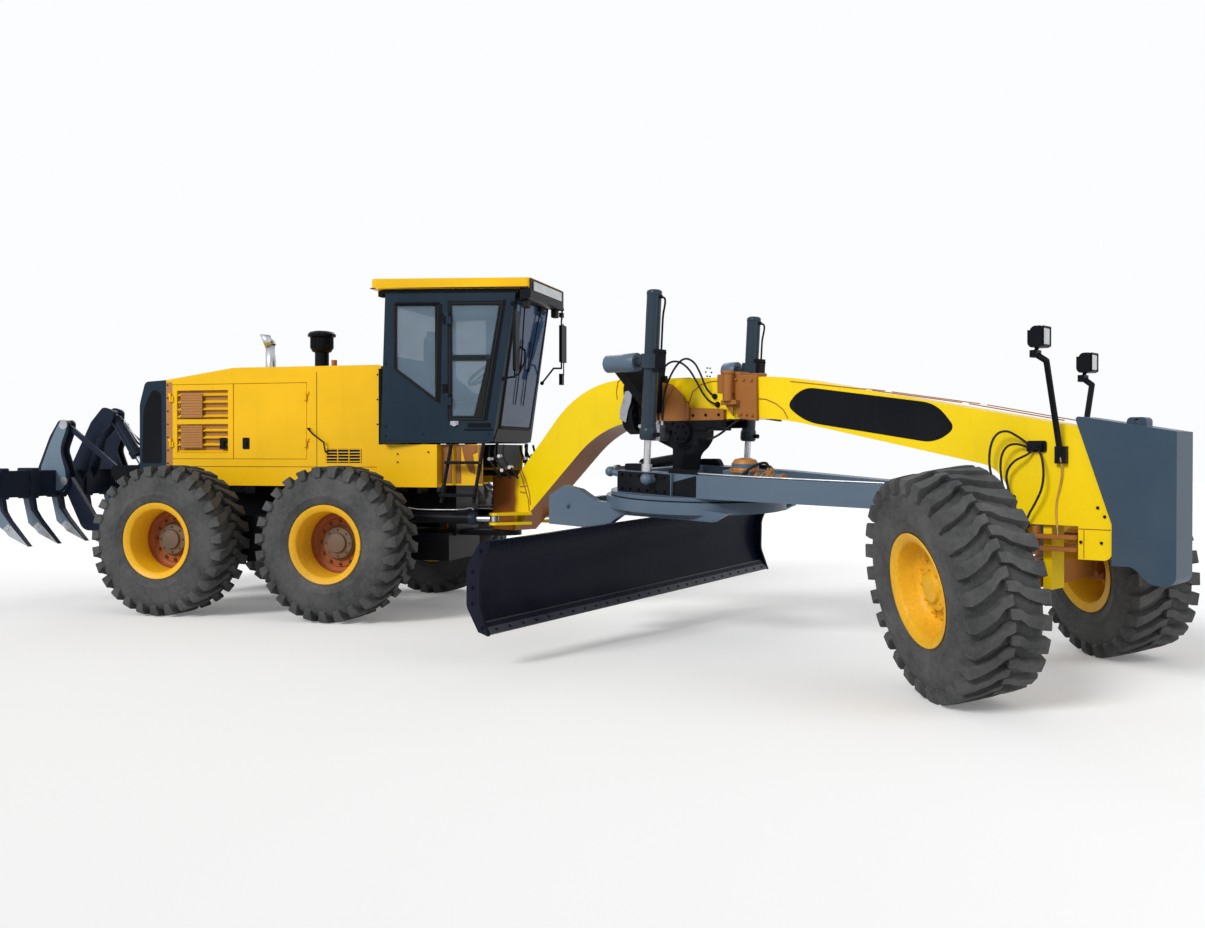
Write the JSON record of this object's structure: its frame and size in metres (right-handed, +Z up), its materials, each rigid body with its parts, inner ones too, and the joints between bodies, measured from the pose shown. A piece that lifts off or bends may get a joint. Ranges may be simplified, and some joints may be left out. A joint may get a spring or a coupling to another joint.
{
  "type": "motor grader",
  "caption": "Articulated motor grader with tandem rear wheels, leaning steered front wheels, a turning blade under the gooseneck and a rear ripper.",
  "frame": {"origin": "middle of the whole machine's footprint box, on the ground", "axes": "+X along the rear frame towards the front, +Y to the machine's left, +Z up"},
  "size_m": [11.4878, 5.9306, 3.33],
  "materials": {
    "yellow_paint": "gloss",
    "yellow_rim_paint": "gloss",
    "dark_grey_paint": "satin",
    "blue_grey_paint": "satin",
    "navy_paint": "satin",
    "blade_steel": "satin",
    "polished_rod": "polished",
    "ball_steel": "satin",
    "tyre_rubber": "matte",
    "cab_glass": "clear",
    "engine_iron": "rough",
    "seat_trim": "matte",
    "console_plastic": "matte"
  },
  "bodies": {
    "rear_machine": {"rear_frame": "dark_grey_paint", "rear_axle": "dark_grey_paint", "engine_block": "engine_iron", "hood": "yellow_paint", "rear_cowl": "dark_grey_paint", "cab_body": "dark_grey_paint", "cab_roof": "yellow_paint", "cab_glass": "cab_glass", "seat": "seat_trim", "control_console": "console_plastic", "cab_steps": "dark_grey_paint", "exhaust": "polished_rod", "precleaner": "dark_grey_paint"},
    "rear_wheel_right": {"rear_tyre_right": "tyre_rubber", "rear_rim_right": "yellow_rim_paint"},
    "middle_wheel_right": {"middle_tyre_right": "tyre_rubber", "middle_rim_right": "yellow_rim_paint"},
    "rear_wheel_left": {"rear_tyre_left": "tyre_rubber", "rear_rim_left": "yellow_rim_paint"},
    "middle_wheel_left": {"middle_tyre_left": "tyre_rubber", "middle_rim_left": "yellow_rim_paint"},
    "cab_door_right": {"cab_door_right": "dark_grey_paint"},
    "plain_door_right": {"plain_door_right": "yellow_paint"},
    "louvre_door_right": {"louvre_door_right": "yellow_paint"},
    "cab_door_left": {"cab_door_left": "dark_grey_paint"},
    "plain_door_left": {"plain_door_left": "yellow_paint"},
    "louvre_door_left": {"louvre_door_left": "yellow_paint"},
    "front_frame": {"gooseneck": "yellow_paint", "front_block": "dark_grey_paint", "saddle": "dark_grey_paint", "front_lamps": "dark_grey_paint", "front_axle": "yellow_paint"},
    "articulation_barrel_right": {"articulation_barrel_right": "dark_grey_paint"},
    "articulation_rod_right": {"articulation_rod_right": "polished_rod"},
    "articulation_barrel_left": {"articulation_barrel_left": "dark_grey_paint"},
    "articulation_rod_left": {"articulation_rod_left": "polished_rod"},
    "lean_arm_right": {"lean_arm_right": "yellow_paint"},
    "knuckle_right": {"knuckle_right": "dark_grey_paint"},
    "front_wheel_right": {"front_tyre_right": "tyre_rubber", "front_rim_right": "yellow_rim_paint"},
    "lean_arm_left": {"lean_arm_left": "yellow_paint"},
    "knuckle_left": {"knuckle_left": "dark_grey_paint"},
    "front_wheel_left": {"front_tyre_left": "tyre_rubber", "front_rim_left": "yellow_rim_paint"},
    "drawbar_ball": {"drawbar_ball": "ball_steel"},
    "drawbar": {"drawbar": "blue_grey_paint"},
    "circle": {"circle": "blue_grey_paint"},
    "blade_carrier": {"blade_carrier": "blue_grey_paint"},
    "blade": {"blade": "blade_steel"},
    "lift_barrel_right": {"lift_barrel_right": "dark_grey_paint"},
    "lift_rod_right": {"lift_rod_right": "polished_rod"},
    "lift_barrel_left": {"lift_barrel_left": "dark_grey_paint"},
    "lift_rod_left": {"lift_rod_left": "polished_rod"},
    "shift_barrel": {"shift_barrel": "dark_grey_paint"},
    "shift_rod": {"shift_rod": "polished_rod"},
    "ripper_arms": {"ripper_arms": "navy_paint"},
    "ripper_links": {"ripper_links": "navy_paint"},
    "ripper_beam": {"ripper_beam": "navy_paint"},
    "ripper_cylinder": {"ripper_cylinder": "navy_paint"},
    "ripper_rod": {"ripper_rod": "polished_rod"}
  },
  "joints": [
    {"name": "rear_wheel_right_roll", "type": "hinge", "parent": "rear_machine", "child": "rear_wheel_right", "pos_m": [-3.53392, 0.1933, 0.74425], "axis": [0, 1, 0], "continuous": true},
    {"name": "middle_wheel_right_roll", "type": "hinge", "parent": "rear_machine", "child": "middle_wheel_right", "pos_m": [-1.69392, 0.1933, 0.74425], "axis": [0, 1, 0], "continuous": true},
    {"name": "rear_wheel_left_roll", "type": "hinge", "parent": "rear_machine", "child": "rear_wheel_left", "pos_m": [-3.53392, 2.6933, 0.74425], "axis": [0, 1, 0], "continuous": true},
    {"name": "middle_wheel_left_roll", "type": "hinge", "parent": "rear_machine", "child": "middle_wheel_left", "pos_m": [-1.69392, 2.6933, 0.74425], "axis": [0, 1, 0], "continuous": true},
    {"name": "cab_door_right_open", "type": "hinge", "parent": "rear_machine", "child": "cab_door_right", "pos_m": [-0.78092, 0.75528, 2.52], "axis": [0, 0, -1], "range_deg": [0, 100]},
    {"name": "plain_door_right_open", "type": "hinge", "parent": "rear_machine", "child": "plain_door_right", "pos_m": [-2.37093, 0.8093, 1.94], "axis": [0, 0, 1], "range_deg": [0, 110]},
    {"name": "louvre_door_right_open", "type": "hinge", "parent": "rear_machine", "child": "louvre_door_right", "pos_m": [-3.97092, 0.8093, 1.94], "axis": [0, 0, -1], "range_deg": [0, 110]},
    {"name": "cab_door_left_open", "type": "hinge", "parent": "rear_machine", "child": "cab_door_left", "pos_m": [-0.78092, 2.13131, 2.52], "axis": [0, 0, 1], "range_deg": [0, 100]},
    {"name": "plain_door_left_open", "type": "hinge", "parent": "rear_machine", "child": "plain_door_left", "pos_m": [-2.37093, 2.0773, 1.94], "axis": [0, 0, -1], "range_deg": [0, 110]},
    {"name": "louvre_door_left_open", "type": "hinge", "parent": "rear_machine", "child": "louvre_door_left", "pos_m": [-3.97092, 2.0773, 1.94], "axis": [0, 0, 1], "range_deg": [0, 110]},
    {"name": "articulation", "type": "hinge", "parent": "rear_machine", "child": "front_frame", "pos_m": [-0.43093, 1.4433, 1.1], "axis": [0, 0, 1], "range_deg": [0, 54]},
    {"name": "articulation_barrel_right_swing", "type": "hinge", "parent": "rear_machine", "child": "articulation_barrel_right", "pos_m": [-1.43093, 0.9233, 0.96], "axis": [0, 0, 1], "range_deg": [-0.5, 12.29]},
    {"name": "articulation_rod_right_slide", "type": "slide", "parent": "articulation_barrel_right", "child": "articulation_rod_right", "axis": [0.9996, -0.0282, 0], "range_m": [-0.004, 0.4361]},
    {"name": "articulation_barrel_left_swing", "type": "hinge", "parent": "rear_machine", "child": "articulation_barrel_left", "pos_m": [-1.43093, 1.9633, 0.96], "axis": [0, 0, 1], "range_deg": [-0.5, 12.29]},
    {"name": "articulation_rod_left_slide", "type": "slide", "parent": "articulation_barrel_left", "child": "articulation_rod_left", "axis": [0.9843, -0.1766, 0], "range_m": [-0.4361, 0.004]},
    {"name": "lean_right", "type": "hinge", "parent": "front_frame", "child": "lean_arm_right", "pos_m": [4.11181, -2.00918, 0.81795], "axis": [0.891, -0.454, 0], "range_deg": [-32.76, 3.24]},
    {"name": "steer_right", "type": "hinge", "parent": "lean_arm_right", "child": "knuckle_right", "pos_m": [4.03632, -2.15734, 0.78261], "axis": [-0.0944, -0.1853, 0.9781], "range_deg": [-9, 81]},
    {"name": "front_wheel_right_roll", "type": "hinge", "parent": "knuckle_right", "child": "front_wheel_right", "pos_m": [3.96568, -2.1924, 0.76915], "axis": [0.883, 0.4382, 0.1682], "continuous": true},
    {"name": "lean_left", "type": "hinge", "parent": "front_frame", "child": "lean_arm_left", "pos_m": [5.03234, -0.20253, 0.72035], "axis": [0.891, -0.454, 0], "range_deg": [-32.76, 3.24]},
    {"name": "steer_left", "type": "hinge", "parent": "lean_arm_left", "child": "knuckle_left", "pos_m": [5.10784, -0.05437, 0.75569], "axis": [-0.0944, -0.1853, 0.9781], "range_deg": [-9, 81]},
    {"name": "front_wheel_left_roll", "type": "hinge", "parent": "knuckle_left", "child": "front_wheel_left", "pos_m": [5.17847, -0.01931, 0.76915], "axis": [0.883, 0.4382, 0.1682], "continuous": true},
    {"name": "drawbar_pitch", "type": "hinge", "parent": "front_frame", "child": "drawbar_ball", "pos_m": [4.31814, -0.97647, 1.245], "axis": [0.454, 0.891, 0], "range_deg": [-16, 3]},
    {"name": "drawbar_swing", "type": "hinge", "parent": "drawbar_ball", "child": "drawbar", "pos_m": [4.31814, -0.97647, 1.245], "axis": [0.0404, -0.0206, 0.999], "range_deg": [-5, 5]},
    {"name": "circle_turn", "type": "hinge", "parent": "drawbar", "child": "circle", "pos_m": [1.79587, 0.31398, 1.2386], "axis": [0.0246, -0.0517, 0.9984], "range_deg": [-51, 39]},
    {"name": "blade_tip", "type": "hinge", "parent": "circle", "child": "blade_carrier", "pos_m": [1.21742, 0.56833, 0.49973], "axis": [0.3596, 0.9323, 0.0394], "range_deg": [-5, 40]},
    {"name": "blade_shift", "type": "slide", "parent": "blade_carrier", "child": "blade", "axis": [0.3596, 0.9323, 0.0394], "range_m": [-0.2, 1]},
    {"name": "lift_barrel_right_swing", "type": "hinge", "parent": "front_frame", "child": "lift_barrel_right", "pos_m": [1.54724, -0.3727, 2.385], "axis": [0.891, -0.454, 0], "range_deg": [-10.5, 10.5]},
    {"name": "lift_rod_right_slide", "type": "slide", "parent": "lift_barrel_right", "child": "lift_rod_right", "axis": [0.0509, -0.0246, 0.9984], "range_m": [-0.7865, 0.1507]},
    {"name": "lift_barrel_left_swing", "type": "hinge", "parent": "front_frame", "child": "lift_barrel_left", "pos_m": [2.20098, 0.91035, 2.385], "axis": [0.891, -0.454, 0], "range_deg": [-10.5, 10.5]},
    {"name": "lift_rod_left_slide", "type": "slide", "parent": "lift_barrel_left", "child": "lift_rod_left", "axis": [0.0519, -0.024, 0.9984], "range_m": [-0.7863, 0.1507]},
    {"name": "shift_barrel_swing", "type": "hinge", "parent": "front_frame", "child": "shift_barrel", "pos_m": [1.58371, 1.04529, 1.57], "axis": [0.891, -0.454, 0], "range_deg": [-7.75, 39.18]},
    {"name": "shift_rod_slide", "type": "slide", "parent": "shift_barrel", "child": "shift_rod", "axis": [-0.4513, -0.8858, -0.1083], "range_m": [-0.2945, 0.2945]},
    {"name": "ripper_lift", "type": "hinge", "parent": "rear_machine", "child": "ripper_arms", "pos_m": [-4.74092, 1.4433, 0.8], "axis": [0, 1, 0], "range_deg": [-69.5, 0]},
    {"name": "ripper_links_swing", "type": "hinge", "parent": "rear_machine", "child": "ripper_links", "pos_m": [-4.74092, 1.4433, 1.42], "axis": [0, 1, 0], "range_deg": [-70, 0.5]},
    {"name": "ripper_beam_level", "type": "hinge", "parent": "ripper_arms", "child": "ripper_beam", "pos_m": [-5.41092, 1.4433, 1.3], "axis": [0, 1, 0], "range_deg": [-0.5, 70]},
    {"name": "ripper_cylinder_swing", "type": "hinge", "parent": "ripper_beam", "child": "ripper_cylinder", "pos_m": [-5.17093, 1.4433, 2.05], "axis": [0, 1, 0], "range_deg": [-60.04, 0.5]},
    {"name": "ripper_rod_slide", "type": "slide", "parent": "ripper_cylinder", "child": "ripper_rod", "axis": [0.5608, 0, -0.828], "range_m": [-0.453, 0.004]}
  ],
  "couplings": [
    {"joint": "articulation_barrel_right_swing", "follows": "articulation", "ratio": 0.21834},
    {"joint": "articulation_rod_right_slide", "follows": "articulation", "m_per_rad": 0.45846},
    {"joint": "articulation_barrel_left_swing", "follows": "articulation", "ratio": 0.21834},
    {"joint": "articulation_rod_left_slide", "follows": "articulation", "m_per_rad": -0.45846},
    {"joint": "lean_left", "follows": "lean_right", "ratio": 1},
    {"joint": "steer_left", "follows": "steer_right", "ratio": 1},
    {"joint": "lift_barrel_right_swing", "follows": "drawbar_swing", "ratio": -2},
    {"joint": "lift_rod_right_slide", "follows": "drawbar_pitch", "m_per_rad": 2.8021},
    {"joint": "lift_barrel_left_swing", "follows": "drawbar_swing", "ratio": -2},
    {"joint": "lift_rod_left_slide", "follows": "drawbar_pitch", "m_per_rad": 2.8014},
    {"joint": "shift_barrel_swing", "follows": "drawbar_pitch", "ratio": -2.4175},
    {"joint": "shift_rod_slide", "follows": "drawbar_swing", "m_per_rad": 3.3405},
    {"joint": "ripper_links_swing", "follows": "ripper_lift", "ratio": 1},
    {"joint": "ripper_beam_level", "follows": "ripper_lift", "ratio": -1},
    {"joint": "ripper_cylinder_swing", "follows": "ripper_lift", "ratio": 0.85671},
    {"joint": "ripper_rod_slide", "follows": "ripper_lift", "m_per_rad": 0.37014}
  ]
}
